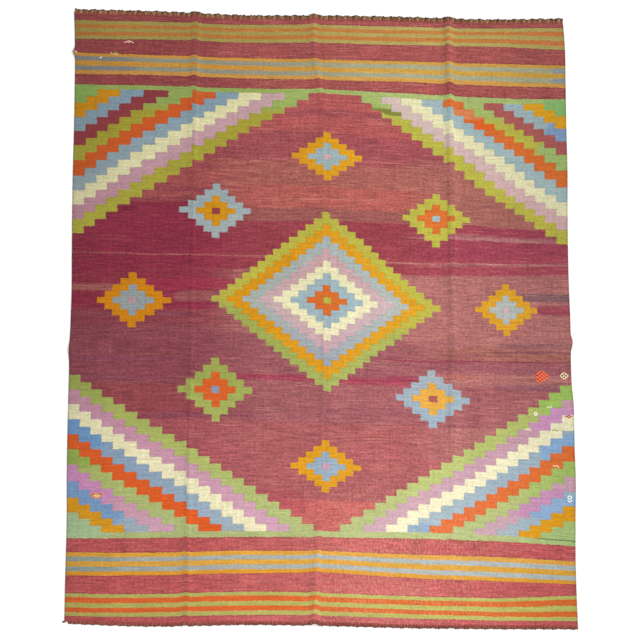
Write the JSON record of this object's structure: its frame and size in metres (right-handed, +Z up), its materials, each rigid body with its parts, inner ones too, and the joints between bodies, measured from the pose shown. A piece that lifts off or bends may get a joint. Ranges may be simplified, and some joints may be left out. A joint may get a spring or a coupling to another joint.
{
  "type": "kilim rug",
  "caption": "Flat-woven wool kilim lying open, with uneven edges, low storage creases and twisted warp bunches along both ends.",
  "frame": {"origin": "on the floor, below the middle of the rug's outline", "axes": "+X across the rug to the right, +Y along the warps towards the far end, +Z up from the floor"},
  "size_m": [2.0729, 2.7118, 0.017],
  "materials": {
    "woven_wool": "weft-faced slit-tapestry wool, matt, crimson field with gold, green, blue, cream, lilac and orange stepped bands",
    "bunched_warps": "undyed dark brown and fawn wool warps, twisted, matt"
  },
  "bodies": {
    "root": {"kilim_cloth": "woven_wool", "bunched_warps_far": "bunched_warps", "bunched_warps_near": "bunched_warps"}
  },
  "joints": []
}
